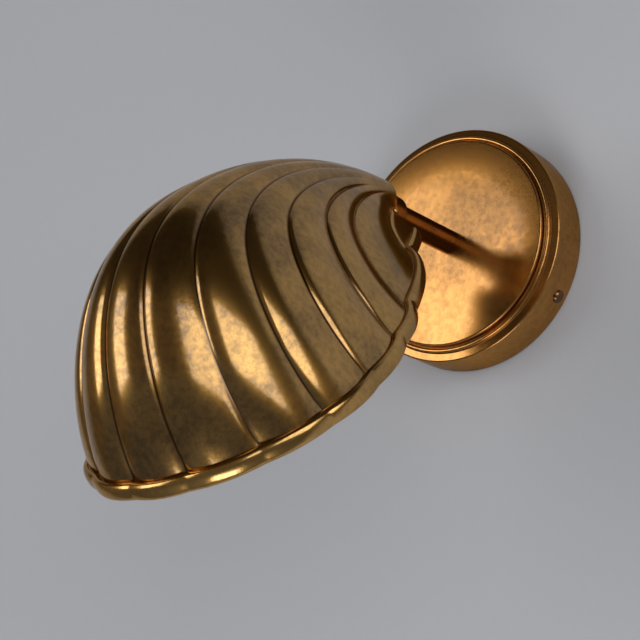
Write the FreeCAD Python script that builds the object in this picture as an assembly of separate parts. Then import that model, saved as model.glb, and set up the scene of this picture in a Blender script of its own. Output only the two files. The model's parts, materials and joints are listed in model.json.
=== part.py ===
import FreeCAD, Part
import math
import os
from FreeCAD import Placement, Rotation, Vector

# A brass wall light: a round stepped wall cover, a straight arm and a fluted shell shade that
# turns on the end of the arm. Sizes are millimetres. The origin is the centre of the cover's
# back edge, where it meets the wall. X runs right, Y into the wall, Z up; n is the distance
# out from the wall, so a point n out lies at y = -n.

# ---- wall cover -------------------------------------------------------------------------
cover_radius = 50.0
cover_wall = 1.0
cover_side_depth = 17.4
cover_depth = 21.4
cover_face_radius = 44.0
cover_edge_round = 0.9
cover_bead_radius = 0.95
cover_bead_ring = 45.6
cover_shoulder_radius = 46.8
cover_hole_clearance = 0.15

# ---- wall bracket -----------------------------------------------------------------------
bracket_inset = 8.0
bracket_radius = cover_radius - bracket_inset
bracket_thickness = 1.5
bracket_fixing_spread = 60.0
bracket_slot_width = 4.6
bracket_slot_length = 11.0
bracket_cable_radius = 7.0
bracket_cable_place = 12.0
bracket_lug_width = 12.0
bracket_lug_height = 10.0
bracket_lug_gap = 0.7
bracket_turn = -33.4

side_screw_radius = 1.5
side_screw_head_radius = 2.75
side_screw_head_height = 1.9
side_screw_length = 6.5
side_screw_height = 5.6
screw_slot_width = 0.7
screw_slot_depth = 0.8
thread_clearance = 0.05

earth_screw_radius = 2.0
earth_screw_head_radius = 3.75
earth_screw_head_height = 2.4
earth_washer_radius = 4.6
earth_washer_thickness = 0.9
earth_place = 26.0

# ---- terminal block ---------------------------------------------------------------------
block_poles = 3
block_pitch = 11.0
block_pole_width = 7.6
block_length = 17.0
block_height = 12.0
block_base_height = 2.4
block_place = 23.0
block_tube_radius = 2.3
block_bore_radius = 1.6
block_tube_height = 6.2
block_screw_radius = 1.25
block_screw_spread = 9.0
block_fixing_radius = 1.4
block_fixing_head_radius = 2.2
block_fixing_head_height = 1.5

# ---- arm and swivel ---------------------------------------------------------------------
arm_radius = 5.0
arm_bore_radius = 3.2
arm_end = 71.0
nipple_radius = 3.95
nipple_bore_radius = 2.9
nipple_grip = 8.0
rear_nipple_reach = 8.0
rear_washer_radius = 7.5
washer_thickness = 0.8
nut_flats = 12.0
nut_thickness = 3.0
ferrule_radius = 7.0
ferrule_length = 11.5
friction_washer_thickness = 0.5
swivel_gap = 0.1
neck_disc_thickness = 1.5
neck_disc_clearance = 0.3
spring_washer_thickness = 1.0
nipple_spare = 1.6

# ---- shell shade ------------------------------------------------------------------------
# The mouth is a flat fan outline, tilted from the wall. In its plane t runs from the neck to
# the tip and m stands square to it, up into the dome. Ribs run from a round neck on the arm
# to the mouth, each at its own turn from the tip.
shade_tilt = 47.98
mouth_crossing = 53.3
mouth_half_width = 53.8
mouth_belly = 144.0
mouth_front = 52.2
mouth_waist = 3.16
mouth_gap = 8.7
mouth_start = 12.4
shade_wall = 1.2
neck_radius = 10.5
neck_place = 75.0
neck_wrap = 125.0
neck_disc_inset = 0.8
neck_disc_radius = neck_radius - neck_disc_inset
dome_height = 64.4
dome_spread = 1.44
rib_lean = 0.17
rib_curl = 0.08
rib_shoulder = -0.04
rib_flat = 0.03
rib_gather = 0.83
groove_turns = [12.0, 38.8, 64.7, 90.2, 102.5, 114.9, 147.4, 180.0]
flute_bulge = 0.07
flute_start = 0.05
flute_full = 0.3
rib_points = 15

# ---- rim band ---------------------------------------------------------------------------
band_depth = 5.6
band_stand = 2.85
band_lip = 0.5
band_crevice = 0.35
band_swell = 1.4
band_tip_length = 2.2
band_tip_share = 0.45

# ---- lamp and its holder ----------------------------------------------------------------
lamp_height = 20.5
strip_place = 35.0
strip_thickness = 1.5
strip_width = 13.0
strip_drop = 15.0
strip_rise = 6.0
holder_nipple_radius = 4.95
holder_nipple_bore = 4.0
holder_nut_flats = 14.0
holder_nut_thickness = 2.4
holder_radius = 13.2
holder_wall = 1.2
holder_cap_length = 15.0
holder_skirt_length = 23.0
holder_spigot = 4.5
holder_core_radius = 11.6
holder_core_thickness = 6.0
holder_shell_radius = 7.6
holder_shell_wall = 0.4
holder_shell_length = 16.0
holder_contact_width = 5.0
holder_contact_thickness = 0.4
lamp_cap_radius = 6.9
lamp_cap_length = 17.0
lamp_globe_radius = 22.5
lamp_length = 77.0
lamp_glass = 1.0
lamp_tip_radius = 2.4
fit_gap = 0.3

os.makedirs("parts", exist_ok=True)

tilt = math.radians(shade_tilt)
MOUTH_ORIGIN = Vector(0, -mouth_crossing, 0)
T_AXIS = Vector(0, -math.sin(tilt), -math.cos(tilt))
M_AXIS = Vector(0, -math.cos(tilt), math.sin(tilt))
disc_back = neck_place - 1.0
disc_front = disc_back + neck_disc_thickness
strip_back = strip_place - strip_thickness / 2.0
strip_front = strip_place + strip_thickness / 2.0
core_low = strip_front + 5.0
core_high = core_low + holder_core_thickness
lamp_start = core_high + 2.2


# ---- small builders ---------------------------------------------------------------------
def save(name, shape):
    shape.exportStep("parts/" + name + ".step")


def placed(shape, placement):
    moved = shape.copy()
    moved.transformShape(placement.toMatrix())
    return moved


def out_frame():
    """Local Z runs out from the wall, local Y is up."""
    return Placement(Vector(0, 0, 0), Rotation(Vector(1, 0, 0), 90))


def lamp_frame():
    """Local Z runs along the lamp towards the tip of the shell, local Y up into the dome."""
    return Placement(MOUTH_ORIGIN + M_AXIS * lamp_height, Rotation(Vector(1, 0, 0), 180 - shade_tilt))


def profile_face(steps):
    """A closed profile in the XZ plane. A step is (r, h), or (r, h, via_r, via_h) for an arc."""
    edges = []
    here = Vector(steps[0][0], 0, steps[0][1])
    first = here
    for step in steps[1:]:
        there = Vector(step[0], 0, step[1])
        if len(step) == 4:
            edges.append(Part.Arc(here, Vector(step[2], 0, step[3]), there).toShape())
        else:
            edges.append(Part.LineSegment(here, there).toShape())
        here = there
    edges.append(Part.LineSegment(here, first).toShape())
    return Part.Face(Part.Wire(edges))


def turned(steps):
    """A solid of revolution round local Z."""
    return profile_face(steps).revolve(Vector(0, 0, 0), Vector(0, 0, 1), 360)


def ring(outer, inner, low, high):
    return turned([(inner, low), (outer, low), (outer, high), (inner, high)])


def rod(radius, low, high):
    return Part.makeCylinder(radius, high - low, Vector(0, 0, low))


def hex_nut(flats, hole, low, high):
    corner = flats / math.sqrt(3.0)
    points = []
    for k in range(7):
        turn = math.radians(60 * k)
        points.append(Vector(corner * math.cos(turn), corner * math.sin(turn), low))
    body = Part.Face(Part.makePolygon(points)).extrude(Vector(0, 0, high - low))
    bevel = corner - flats / 2.0 + 0.1
    chamfer = turned([(0, low), (corner - bevel, low), (corner, low + 0.5), (corner, high - 0.5),
                      (corner - bevel, high), (0, high)])
    return body.common(chamfer).cut(rod(hole, low - 1, high + 1))


def dome_head(radius, height, low):
    """A low domed screw head standing on height low."""
    rim = low + height * 0.3
    via = (radius * 0.72, low + height * 0.76)
    return turned([(0, low), (radius, low), (radius, rim), (0, low + height, via[0], via[1])])


def slotted(screw, width, depth, top):
    reach = width * 20.0
    slot = Part.makeBox(reach * 2, width, depth * 2, Vector(-reach, -width / 2.0, top - depth))
    return screw.cut(slot)


def slot_hole(width, length, x, y, low, high):
    reach = (length - width) / 2.0
    left = Part.makeCylinder(width / 2.0, high - low, Vector(x - reach, y, low))
    right = Part.makeCylinder(width / 2.0, high - low, Vector(x + reach, y, low))
    middle = Part.makeBox(2 * reach, width, high - low, Vector(x - reach, y - width / 2.0, low))
    return left.fuse(middle).fuse(right)


# ---- wall cover and bracket -------------------------------------------------------------
def wall_cover():
    edge = cover_edge_round
    corner = edge * (1 - math.sqrt(0.5))
    ledge = cover_side_depth + 0.4
    bead_foot = ledge + 0.7
    bead_out = cover_bead_ring + cover_bead_radius
    bead_in = cover_bead_ring - cover_bead_radius
    face_in = cover_depth - edge
    hole = nipple_radius + cover_hole_clearance
    outer_side = cover_radius - cover_wall
    inner_face = cover_face_radius - cover_wall
    cover = turned([
        (outer_side, 0),
        (cover_radius, 0),
        (cover_radius, cover_side_depth - edge),
        (cover_radius - edge, cover_side_depth, cover_radius - corner, cover_side_depth - corner),
        (cover_shoulder_radius, ledge),
        (bead_out, bead_foot, cover_shoulder_radius - 0.2, bead_foot - 0.3),
        (bead_in, bead_foot, cover_bead_ring, bead_foot + cover_bead_radius),
        (cover_face_radius, bead_foot + 0.3),
        (cover_face_radius, face_in),
        (cover_face_radius - edge, cover_depth, cover_face_radius - corner, cover_depth - corner),
        (hole, cover_depth),
        (hole, cover_depth - cover_wall),
        (inner_face, cover_depth - cover_wall),
        (inner_face, cover_side_depth - cover_wall),
        (outer_side, cover_side_depth - cover_wall),
    ])
    for turn in (bracket_turn, bracket_turn + 180):
        drill = Part.makeCylinder(side_screw_radius + cover_hole_clearance, 6,
                                  Vector(cover_radius - 4, 0, side_screw_height), Vector(1, 0, 0))
        drill.rotate(Vector(0, 0, 0), Vector(0, 0, 1), turn)
        cover = cover.cut(drill)
    return placed(cover, out_frame())


def wall_bracket():
    thick = bracket_thickness
    half = bracket_lug_width / 2.0
    face = cover_radius - cover_wall - bracket_lug_gap
    plate = rod(bracket_radius, 0, thick)
    for turn in (bracket_turn, bracket_turn + 180):
        foot = Part.makeBox(face, bracket_lug_width, thick, Vector(0, -half, 0))
        lug = Part.makeBox(thick, bracket_lug_width, bracket_lug_height, Vector(face - thick, -half, 0))
        arm = foot.fuse(lug)
        drill = Part.makeCylinder(side_screw_radius + thread_clearance, 6,
                                  Vector(face - 4, 0, side_screw_height), Vector(1, 0, 0))
        arm = arm.cut(drill)
        arm.rotate(Vector(0, 0, 0), Vector(0, 0, 1), turn)
        plate = plate.fuse(arm)
    plate = plate.removeSplitter()
    plate = plate.cut(Part.makeCylinder(bracket_cable_radius, thick + 2, Vector(0, bracket_cable_place, -1)))
    for side in (1, -1):
        place = side * bracket_fixing_spread / 2.0
        plate = plate.cut(slot_hole(bracket_slot_width, bracket_slot_length, place, 0, -1, thick + 1))
        plate = plate.cut(Part.makeCylinder(block_fixing_radius + thread_clearance, thick + 2,
                                            Vector(side * block_pitch / 2.0, -block_place, -1)))
    plate = plate.cut(Part.makeCylinder(earth_screw_radius + thread_clearance, thick + 2,
                                        Vector(0, earth_place, -1)))
    return placed(plate, out_frame())


def side_screws():
    """Two domed screws; the underside of each head is dished to the cover's round wall."""
    screws = []
    for turn in (bracket_turn, bracket_turn + 180):
        screw = dome_head(side_screw_head_radius, side_screw_head_height, 0)
        screw = screw.fuse(rod(side_screw_radius, -side_screw_length, 0)).removeSplitter()
        screw = slotted(screw, screw_slot_width, screw_slot_depth, side_screw_head_height)
        seat = math.sqrt(cover_radius ** 2 - side_screw_radius ** 2)
        screw = placed(screw, Placement(Vector(seat, 0, side_screw_height), Rotation(Vector(0, 1, 0), 90)))
        under = Part.makeCylinder(side_screw_head_radius + 1, 4,
                                  Vector(cover_radius - 4, 0, side_screw_height), Vector(1, 0, 0))
        shank = Part.makeCylinder(side_screw_radius, 6,
                                  Vector(cover_radius - 5, 0, side_screw_height), Vector(1, 0, 0))
        screw = screw.cut(under.cut(shank).common(rod(cover_radius, 0, cover_depth)))
        screw.rotate(Vector(0, 0, 0), Vector(0, 0, 1), turn)
        screws.append(placed(screw, out_frame()))
    return Part.makeCompound(screws)


def earth_washer():
    washer = ring(earth_washer_radius, earth_screw_radius, bracket_thickness,
                  bracket_thickness + earth_washer_thickness)
    washer.translate(Vector(0, earth_place, 0))
    return placed(washer, out_frame())


def earth_screw():
    low = bracket_thickness + earth_washer_thickness
    screw = dome_head(earth_screw_head_radius, earth_screw_head_height, low)
    screw = screw.fuse(rod(earth_screw_radius, 0.2, low)).removeSplitter()
    screw = slotted(screw, screw_slot_width + 0.3, screw_slot_depth + 0.3, low + earth_screw_head_height)
    screw.translate(Vector(0, earth_place, 0))
    return placed(screw, out_frame())


# ---- terminal block ---------------------------------------------------------------------
def pole_places():
    middle = (block_poles - 1) / 2.0
    return [(k - middle) * block_pitch for k in range(block_poles)]


def on_block(shape):
    """Stand a piece built on the block's own base on the bracket."""
    shape.translate(Vector(0, -block_place, bracket_thickness))
    return placed(shape, out_frame())


def terminal_block():
    half = block_length / 2.0
    span = (block_poles - 1) * block_pitch + block_pole_width
    block = Part.makeBox(span, block_length, block_base_height, Vector(-span / 2.0, -half, 0))
    for x in pole_places():
        pole = Part.makeBox(block_pole_width, block_length, block_height,
                            Vector(x - block_pole_width / 2.0, -half, 0))
        block = block.fuse(pole)
    block = block.removeSplitter()
    for x in pole_places():
        block = block.cut(Part.makeCylinder(block_tube_radius, block_length + 2,
                                            Vector(x, -half - 1, block_tube_height), Vector(0, 1, 0)))
        for y in (-block_screw_spread / 2.0, block_screw_spread / 2.0):
            well = Part.makeCylinder(block_screw_radius + 0.5, block_height, Vector(x, y, block_tube_height))
            block = block.cut(well)
    for x in (-block_pitch / 2.0, block_pitch / 2.0):
        head = Part.makeCylinder(block_fixing_head_radius + 0.2, block_height, Vector(x, 0, block_base_height))
        hole = Part.makeCylinder(block_fixing_radius + 0.1, block_height, Vector(x, 0, -1))
        block = block.cut(head).cut(hole)
    return on_block(block)


def terminal_fixings():
    """Two screws that hold the block to the bracket, their heads on the block's base."""
    screws = []
    for x in (-block_pitch / 2.0, block_pitch / 2.0):
        head = dome_head(block_fixing_head_radius, block_fixing_head_height, block_base_height)
        shank = rod(block_fixing_radius, 0.2 - bracket_thickness, block_base_height)
        screw = head.fuse(shank).removeSplitter()
        top = block_base_height + block_fixing_head_height
        screw = slotted(screw, screw_slot_width, screw_slot_depth, top)
        screw.translate(Vector(x, 0, 0))
        screws.append(on_block(screw))
    return Part.makeCompound(screws)


def terminal_tubes():
    tubes = []
    for x in pole_places():
        tube = Part.makeCylinder(block_tube_radius, block_length - 2,
                                 Vector(x, 1 - block_length / 2.0, block_tube_height), Vector(0, 1, 0))
        bore = Part.makeCylinder(block_bore_radius, block_length + 2,
                                 Vector(x, -1 - block_length / 2.0, block_tube_height), Vector(0, 1, 0))
        tube = tube.cut(bore)
        for y in (-block_screw_spread / 2.0, block_screw_spread / 2.0):
            tube = tube.cut(Part.makeCylinder(block_screw_radius, 9, Vector(x, y, block_tube_height)))
        tubes.append(on_block(tube))
    return Part.makeCompound(tubes)


def terminal_clamp_screws():
    screws = []
    top = block_height - 1.2
    for x in pole_places():
        for y in (-block_screw_spread / 2.0, block_screw_spread / 2.0):
            screw = rod(block_screw_radius, block_tube_height + 0.6, top)
            screw = slotted(screw, 0.6, 0.7, top)
            screw.translate(Vector(x, y, 0))
            screws.append(on_block(screw))
    return Part.makeCompound(screws)


# ---- arm and swivel ---------------------------------------------------------------------
def arm_tube():
    low = cover_depth
    tube = rod(arm_radius, low, arm_end).cut(rod(arm_bore_radius, low - 1, arm_end + 1))
    tube = tube.cut(rod(nipple_radius, low - 1, low + nipple_grip))
    tube = tube.cut(rod(nipple_radius, arm_end - nipple_grip, arm_end + 1))
    return placed(tube, out_frame())


def rear_nipple():
    low = cover_depth - rear_nipple_reach
    return placed(ring(nipple_radius, nipple_bore_radius, low, cover_depth + nipple_grip), out_frame())


def rear_washer():
    high = cover_depth - cover_wall
    washer = ring(rear_washer_radius, nipple_radius + cover_hole_clearance, high - washer_thickness, high)
    return placed(washer, out_frame())


def rear_nut():
    high = cover_depth - cover_wall - washer_thickness
    return placed(hex_nut(nut_flats, nipple_radius, high - nut_thickness, high), out_frame())


def swivel_ferrule():
    """A turned cup over the end of the arm; the shade's neck bears on its head."""
    head_face = disc_back - friction_washer_thickness - swivel_gap
    low = head_face - ferrule_length
    ferrule = turned([
        (arm_radius, low),
        (ferrule_radius - 0.8, low),
        (ferrule_radius, low + 0.8, ferrule_radius - 0.235, low + 0.235),
        (ferrule_radius, head_face - 0.5),
        (ferrule_radius - 0.5, head_face),
        (nipple_radius, head_face),
        (nipple_radius, arm_end),
        (arm_radius, arm_end),
    ])
    return placed(ferrule, out_frame())


def friction_washer():
    washer = ring(ferrule_radius - 0.4, nipple_radius + neck_disc_clearance,
                  disc_back - friction_washer_thickness, disc_back)
    return placed(washer, out_frame())


def stack_top():
    """How far out the pieces clamped round the swivel reach before the spring washer."""
    return disc_front + strip_thickness + swivel_gap


def swivel_nipple():
    high = stack_top() + spring_washer_thickness + nut_thickness + nipple_spare
    return placed(ring(nipple_radius, nipple_bore_radius, arm_end - nipple_grip, high), out_frame())


def spring_washer():
    low = stack_top()
    high = low + spring_washer_thickness
    washer = turned([(nipple_radius, low + 0.3), (ferrule_radius - 0.6, low), (ferrule_radius - 0.2, high - 0.4),
                     (nipple_radius + 0.8, high), (nipple_radius, high)])
    return placed(washer, out_frame())


def lock_nut():
    low = stack_top() + spring_washer_thickness
    return placed(hex_nut(nut_flats, nipple_radius, low, low + nut_thickness), out_frame())


# ---- shell shade ------------------------------------------------------------------------
def mouth_point(turn):
    """The mouth's outline in its own plane; turn 0 is the tip, 180 the neck."""
    angle = math.radians(abs(turn))
    if abs(turn) <= 90:
        x = mouth_half_width * math.sin(angle)
        t = mouth_belly + mouth_front * math.cos(angle)
    else:
        back = angle - math.pi / 2
        x = mouth_gap + (mouth_half_width - mouth_gap) * max(math.cos(back), 0.0) ** mouth_waist
        t = mouth_belly - (mouth_belly - mouth_start) * math.sin(back)
    return Vector(math.copysign(x, turn) if turn else 0.0, t, 0)


def neck_point(turn):
    """The round neck on the arm's axis, in the mouth's own frame (x, t, m)."""
    wrap = math.radians(turn * neck_wrap / 180.0)
    ahead = neck_place - mouth_crossing
    high = neck_radius * math.cos(wrap)
    t = ahead * math.sin(tilt) - high * math.cos(tilt)
    m = ahead * math.cos(tilt) + high * math.sin(tilt)
    return Vector(neck_radius * math.sin(wrap), t, m)


def rib_point(turn, s):
    """A point of the smooth dome under the flutes; s runs from the neck (0) to the mouth (1)."""
    rim = mouth_point(turn)
    neck = neck_point(turn)
    w = math.pi * s
    reach = rim.Length / (mouth_belly + mouth_front)
    along = (1 - math.cos(w)) / 2.0 + rib_lean * math.sin(w) + rib_curl * math.sin(2 * w)
    swell = math.sin(w) + rib_shoulder * math.sin(2 * w) + rib_flat * math.sin(3 * w)
    rise = dome_height * reach ** dome_spread * swell
    point = neck + (rim - neck) * along + Vector(0, 0, rise)
    gather = rib_gather * abs(rim.x) / rim.Length * rise
    side = Vector(rim.y, -rim.x, 0) * (math.copysign(1.0, turn) / rim.Length)
    return point - side * gather


def rib_normal(turn, s):
    """The dome's outward normal."""
    low = min(turn, 179.0) - 1.0
    high = min(turn + 1.0, 180.0)
    across = rib_point(high, s) - rib_point(low, s)
    ahead = rib_point(turn, min(s + 0.004, 1.0)) - rib_point(turn, max(s - 0.004, 0.0))
    normal = across.cross(ahead)
    normal.normalize()
    return normal


def end_normal(normal, s):
    """Lay a normal into the end plane and stretch it so that the wall keeps its thickness."""
    if s > 0.999:
        square = Vector(0, 0, 1)
    elif s < 0.001:
        square = Vector(0, math.sin(tilt), math.cos(tilt))
    else:
        return normal
    flat = normal - square * normal.dot(square)
    return flat * (1.0 / max(flat.dot(flat), 0.25))


def flute_share(s):
    ease = min(max((s - flute_start) / (flute_full - flute_start), 0.0), 1.0)
    return ease * ease * (3 - 2 * ease)


def lobe_rows(left, right, depth):
    """Pole rows of one flute: left crease, crest control and right crease, at a wall depth."""
    rows = [[], [], []]
    middle = (left + right) / 2.0
    for k in range(rib_points):
        s = k / (rib_points - 1.0)
        a = rib_point(left, s)
        b = rib_point(right, s)
        normal = end_normal(rib_normal(middle, s), s)
        crest = rib_point(middle, s) + normal * (flute_bulge * (b - a).Length * flute_share(s))
        crest = crest - normal * depth
        a = a - end_normal(rib_normal(left, s), s) * depth
        b = b - end_normal(rib_normal(right, s), s) * depth
        rows[0].append(a)
        rows[1].append(crest * 2 - (a + b) * 0.5)
        rows[2].append(b)
    return rows


def row_curve(points):
    curve = Part.BSplineCurve()
    places = [k / (len(points) - 1.0) for k in range(len(points))]
    curve.interpolate(Points=points, Parameters=places)
    return curve


def to_world(point):
    return MOUTH_ORIGIN + Vector(1, 0, 0) * point.x + T_AXIS * point.y + M_AXIS * point.z


def patch(rows):
    """A face, curved as an arc across its rows (or ruled, for two rows), smooth along them."""
    curves = [row_curve([to_world(p) for p in row]) for row in rows]
    poles = [curve.getPoles() for curve in curves]
    degree = len(rows) - 1
    surface = Part.BSplineSurface()
    surface.buildFromPolesMultsKnots(poles, [degree + 1, degree + 1], curves[0].getMultiplicities(),
                                     [0.0, 1.0], curves[0].getKnots(), False, False, degree,
                                     curves[0].Degree)
    return surface.toShape()


def net_patch(rows):
    """A face on a small net of poles: two or three rows of three."""
    degree = len(rows) - 1
    surface = Part.BSplineSurface()
    poles = [[to_world(p) for p in row] for row in rows]
    surface.buildFromPolesMultsKnots(poles, [degree + 1, degree + 1], [3, 3], [0.0, 1.0], [0.0, 1.0],
                                     False, False, degree, 2)
    return surface.toShape()


def flip_rows(rows):
    return [[Vector(-p.x, p.y, p.z) for p in row] for row in rows]


def lobes():
    """Each flute as (left turn, right turn, mirrored)."""
    spans = [(-groove_turns[0], groove_turns[0], False)]
    for low, high in zip(groove_turns[:-1], groove_turns[1:]):
        spans.append((low, high, False))
        spans.append((low, high, True))
    return spans


def closed_solid(faces):
    shell = Part.Shell(faces)
    shell.sewShape()
    solid = Part.Solid(shell)
    if solid.Volume < 0:
        solid.reverse()
    return solid


def shade_body():
    faces = []
    for left, right, mirrored in lobes():
        outer = lobe_rows(left, right, 0.0)
        inner = lobe_rows(left, right, shade_wall)
        if mirrored:
            outer = flip_rows(outer)
            inner = flip_rows(inner)
        faces.append(patch(outer))
        faces.append(patch(inner))
        for end in (0, -1):
            faces.append(net_patch([[row[end] for row in outer], [row[end] for row in inner]]))
        if right > 179.9:
            faces.append(patch([outer[2], inner[2]]))
    return closed_solid(faces)


def shell_shade():
    disc = placed(rod(neck_disc_radius, disc_back, disc_front), out_frame())
    hole = placed(rod(nipple_radius + neck_disc_clearance, disc_back - 2, disc_front + 2), out_frame())
    return shade_body().fuse(disc).cut(hole)


# ---- rim band ---------------------------------------------------------------------------
def band_sides():
    """The band's section as sides of three poles (r outward, m up); straight sides are evened."""
    deep = -band_depth
    wide = band_stand
    corners = [
        [(-shade_wall, 0), None, (band_crevice, 0)],
        [(band_crevice, 0), None, (band_crevice + 0.4, band_lip)],
        [(band_crevice + 0.4, band_lip), (wide - 0.4, band_lip + 0.3), (wide, deep * 0.25)],
        [(wide, deep * 0.25), (wide + 0.15, deep * 0.5), (wide - 0.1, deep * 0.75)],
        [(wide - 0.1, deep * 0.75), (wide - 0.4, deep - 0.1), (wide - 1.8, deep)],
        [(wide - 1.8, deep), (-0.2, deep), (-0.4, deep * 0.75)],
        [(-0.4, deep * 0.75), None, (-shade_wall, deep * 0.5)],
        [(-shade_wall, deep * 0.5), None, (-shade_wall, 0)],
    ]
    sides = []
    for first, middle, last in corners:
        if middle is None:
            middle = ((first[0] + last[0]) / 2.0, (first[1] + last[1]) / 2.0)
        sides.append([first, middle, last])
    return sides


def rim_normal(turn):
    normal = end_normal(rib_normal(turn, 1.0), 1.0)
    normal.normalize()
    return normal


def band_reach(turn, r):
    """The band's outside is fuller over a groove, so its outer edge is a gentler wave than the rim."""
    return r * band_swell if r > 0 and turn < groove_turns[-1] else r


def band_arc(left, right, r, m):
    """Three poles of one flute's stretch of the band, r outward and m up from the shell's rim."""
    middle = (left + right) / 2.0
    shift = Vector(0, 0, m)
    a = rib_point(left, 1.0)
    b = rib_point(right, 1.0)
    bulge = end_normal(rib_normal(middle, 1.0), 1.0) * (flute_bulge * (b - a).Length)
    crest = rib_point(middle, 1.0) + bulge + rim_normal(middle) * r + shift
    a = a + rim_normal(left) * band_reach(left, r) + shift
    b = b + rim_normal(right) * band_reach(right, r) + shift
    return [a, crest * 2 - (a + b) * 0.5, b]


def band_tip_rows(side):
    """The band's free end: its section runs on along the rim and closes to a rounded nose."""
    turn = groove_turns[-1]
    rim = rib_point(turn, 1.0)
    ahead = rim - rib_point(turn - 12.0, 1.0)
    ahead = Vector(ahead.x, ahead.y, 0)
    ahead.normalize()
    outward = rim_normal(turn)
    centre = rim + outward * ((band_stand - shade_wall) / 2.0) + Vector(0, 0, -band_depth / 2.0)
    rows = []
    for r, m in side:
        start = rim + outward * r + Vector(0, 0, m)
        end = centre + (start - centre) * band_tip_share + ahead * band_tip_length
        rows.append([start, start + ahead * (band_tip_length * 0.9), end])
    return rows


def rim_band():
    faces = []
    sides = band_sides()
    for left, right, mirrored in lobes():
        for side in sides:
            rows = [band_arc(left, right, r, m) for r, m in side]
            faces.append(net_patch(flip_rows(rows) if mirrored else rows))
    for mirrored in (False, True):
        end_edges = []
        for side in sides:
            rows = band_tip_rows(side)
            rows = flip_rows(rows) if mirrored else rows
            faces.append(net_patch(rows))
            curve = Part.BezierCurve()
            curve.setPoles([to_world(row[2]) for row in rows])
            end_edges.append(curve.toShape())
        faces.append(Part.Face(Part.Wire(end_edges)))
    return closed_solid(faces)


# ---- lamp strip, holder and lamp --------------------------------------------------------
def mouth_to_out(t, m):
    """A point of the shade's middle plane as (n, z)."""
    n = mouth_crossing + t * math.sin(tilt) + m * math.cos(tilt)
    return n, m * math.sin(tilt) - t * math.cos(tilt)


def out_on_station(t, z):
    """Where the plane square to the lamp at station t crosses the height z."""
    return mouth_crossing + (t + z * math.cos(tilt)) / math.sin(tilt)


def lamp_strip():
    """A bent strip: one leg on the neck disc, a foot forward, one leg square to the lamp."""
    back = disc_front
    front = back + strip_thickness
    floor = -strip_drop
    under = floor - strip_thickness
    top = lamp_height + strip_width / 2.0
    points = [
        (back, strip_rise),
        (back, under),
        (out_on_station(strip_front, under), under),
        mouth_to_out(strip_front, top),
        mouth_to_out(strip_back, top),
        (out_on_station(strip_back, floor), floor),
        (front, floor),
        (front, strip_rise),
    ]
    corners = [Vector(-strip_width / 2.0, -n, z) for n, z in points]
    strip = Part.Face(Part.makePolygon(corners + [corners[0]])).extrude(Vector(strip_width, 0, 0))
    strip = strip.cut(placed(rod(nipple_radius + neck_disc_clearance, back - 2, front + 2), out_frame()))
    return strip.cut(placed(rod(holder_nipple_radius, strip_back - 2, strip_front + 2), lamp_frame()))


def holder_nipple():
    low = strip_back - holder_nut_thickness - 1.0
    return placed(ring(holder_nipple_radius, holder_nipple_bore, low, core_low), lamp_frame())


def holder_nut():
    nut = hex_nut(holder_nut_flats, holder_nipple_radius, strip_back - holder_nut_thickness, strip_back)
    return placed(nut, lamp_frame())


def holder_cap():
    low = strip_front
    high = low + holder_cap_length
    inside = holder_radius - holder_wall
    boss = holder_nipple_radius + holder_wall
    cap = turned([
        (holder_nipple_radius, low),
        (holder_radius - 3.0, low),
        (holder_radius, low + 3.0, holder_radius - 0.88, low + 0.88),
        (holder_radius, high),
        (inside, high),
        (inside, low + 3.0),
        (inside - 1.8, low + holder_wall),
        (boss, low + holder_wall),
        (boss, core_low),
        (holder_nipple_radius, core_low),
    ])
    return placed(cap, lamp_frame())


def holder_skirt():
    low = strip_front + holder_cap_length
    high = low + holder_skirt_length
    inside = holder_radius - holder_wall
    skirt = turned([
        (inside - 1.0, low - holder_spigot),
        (inside, low - holder_spigot),
        (inside, low),
        (holder_radius, low),
        (holder_radius, high - 0.6),
        (holder_radius - 0.6, high),
        (inside - 1.0, high),
    ])
    return placed(skirt, lamp_frame())


def holder_core():
    """The ceramic floor that carries the contacts, sitting on the cap's inner boss."""
    core = turned([
        (1.2, core_low),
        (holder_core_radius, core_low),
        (holder_core_radius, core_high - 2.2),
        (holder_core_radius - 0.8, core_high - 2.0),
        (holder_core_radius - 0.8, core_high),
        (1.2, core_high),
    ])
    return placed(core, lamp_frame())


def holder_shell():
    """The metal screw sleeve that takes the lamp's cap, standing on the core."""
    high = core_high + holder_shell_length
    thin = holder_shell_wall
    outer = holder_shell_radius
    sleeve = turned([
        (outer - 2.0, core_high),
        (outer, core_high),
        (outer, high - 0.6),
        (outer + 0.5, high),
        (outer + 0.5 - thin, high),
        (outer - thin, high - 0.6),
        (outer - thin, core_high + thin),
        (outer - 2.0, core_high + thin),
    ])
    return placed(sleeve, lamp_frame())


def holder_contact():
    """The springy centre contact, a bent tongue that reaches up to the lamp's tip."""
    half = holder_contact_width / 2.0
    thin = holder_contact_thickness
    tip = lamp_start - fit_gap
    points = [
        (-4.0, core_high),
        (1.0, core_high),
        (4.2, tip - thin),
        (3.0, tip),
        (-2.6, tip),
        (-2.6, tip - thin),
        (2.6, tip - thin),
        (0.6, core_high + thin),
        (-4.0, core_high + thin),
    ]
    corners = [Vector(-half, y, z) for y, z in points]
    tongue = Part.Face(Part.makePolygon(corners + [corners[0]])).extrude(Vector(2 * half, 0, 0))
    return placed(tongue, lamp_frame())


def lamp_glass_steps(inset):
    """Half outline of the glass from its neck over the globe, drawn in by inset."""
    low = lamp_start + lamp_cap_length - 1.0
    radius = lamp_globe_radius - inset
    centre = lamp_start + lamp_length - lamp_globe_radius
    neck = lamp_cap_radius - 0.5 - inset
    down = math.radians(40)
    side = math.radians(25)
    return [
        (0, low + inset),
        (neck, low + inset),
        (neck, low + 2.4),
        (radius * math.cos(down), centre - radius * math.sin(down)),
        (0, centre + radius, radius * math.cos(side), centre + radius * math.sin(side)),
    ]


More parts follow.
